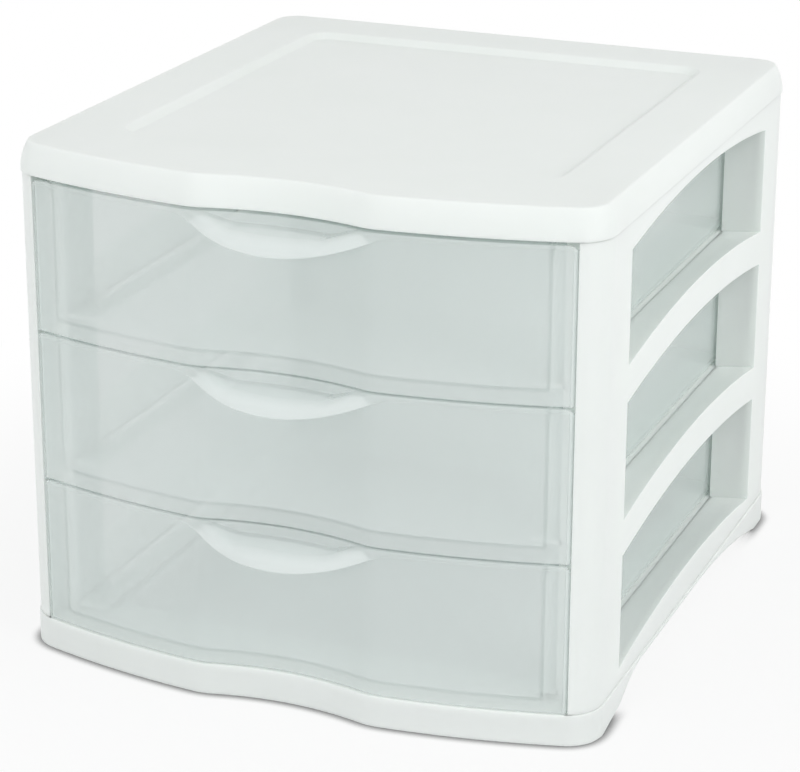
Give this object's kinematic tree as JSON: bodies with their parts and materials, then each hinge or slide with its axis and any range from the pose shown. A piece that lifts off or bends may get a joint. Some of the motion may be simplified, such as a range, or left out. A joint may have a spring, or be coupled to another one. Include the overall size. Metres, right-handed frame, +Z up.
{
  "type": "stackable drawer box",
  "caption": "White plastic desktop drawer box with arched side openings and frosted drawers, each with a moulded front pull; stacks on its own kind.",
  "frame": {"origin": "on the floor under the middle of the whole object's box", "axes": "+X to the right seen from the front, +Y to the back, +Z up; the drawer fronts face -Y"},
  "size_m": [0.32, 0.3684, 0.279],
  "materials": {
    "white_plastic": "satin injection-moulded polypropylene, white with a slight cool tint",
    "frosted_plastic": "translucent frosted polypropylene, satin, see-through enough to show the floor and walls of a drawer"
  },
  "bodies": {
    "frame": {"top_cap": "white_plastic", "base": "white_plastic", "left_side_panel": "white_plastic", "right_side_panel": "white_plastic", "back_panel": "white_plastic"},
    "top_drawer": {"top_drawer": "frosted_plastic"},
    "middle_drawer": {"middle_drawer": "frosted_plastic"},
    "bottom_drawer": {"bottom_drawer": "frosted_plastic"}
  },
  "joints": [
    {"name": "top_drawer_slide", "type": "slide", "parent": "frame", "child": "top_drawer", "axis": [0, -1, 0], "range_m": [0, 0.25]},
    {"name": "middle_drawer_slide", "type": "slide", "parent": "frame", "child": "middle_drawer", "axis": [0, -1, 0], "range_m": [0, 0.25]},
    {"name": "bottom_drawer_slide", "type": "slide", "parent": "frame", "child": "bottom_drawer", "axis": [0, -1, 0], "range_m": [0, 0.25]}
  ]
}
